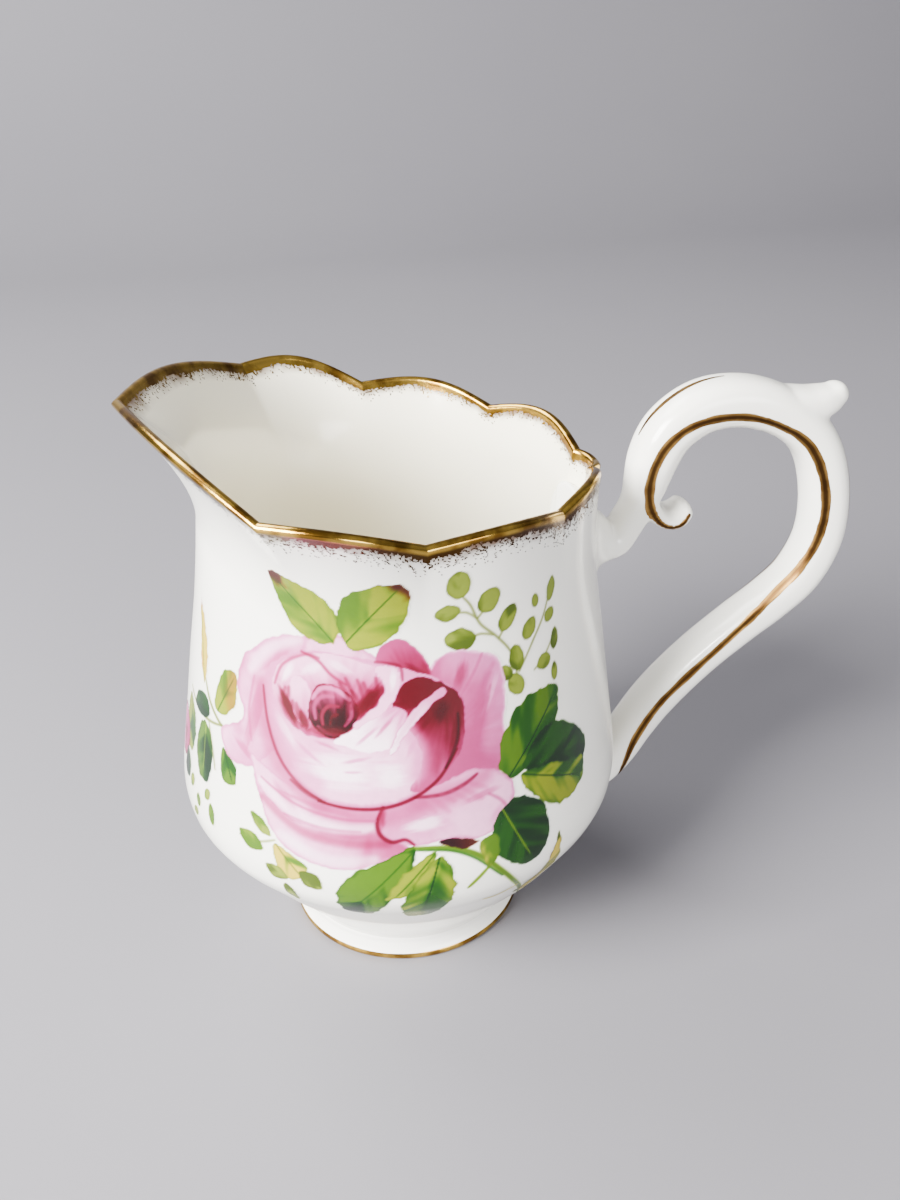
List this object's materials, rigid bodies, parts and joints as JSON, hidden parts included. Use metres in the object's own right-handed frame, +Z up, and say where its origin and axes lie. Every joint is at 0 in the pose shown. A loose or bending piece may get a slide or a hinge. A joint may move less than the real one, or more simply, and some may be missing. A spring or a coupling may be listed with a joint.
{
  "type": "cream jug",
  "caption": "Small footed porcelain cream jug with a scalloped gilded rim, a wide pouring spout, a scrolled handle and a floral transfer on each side.",
  "frame": {"origin": "under the middle of the whole jug, on the plane the foot stands on", "axes": "+Z up, +X from the spout toward the handle, Y across the jug"},
  "size_m": [0.1248, 0.0804, 0.1044],
  "materials": {
    "porcelain": "clear glossy glaze",
    "gilding": "burnished gold, slightly worn",
    "transfer": "floral print under glaze"
  },
  "bodies": {
    "root": {"body": "porcelain", "foot_ring": "porcelain", "handle": "porcelain", "upper_handle_joint": "porcelain", "lower_handle_joint": "porcelain", "rim_gilding": "gilding", "foot_gilding": "gilding", "handle_gold_line_front": "gilding", "handle_gold_line_back": "gilding", "handle_gold_stroke_crest": "gilding", "handle_gold_stroke_rear": "gilding", "rose_transfer_front": "transfer", "bud_transfer_front": "transfer", "rose_transfer_back": "transfer", "bud_transfer_back": "transfer"}
  },
  "joints": []
}
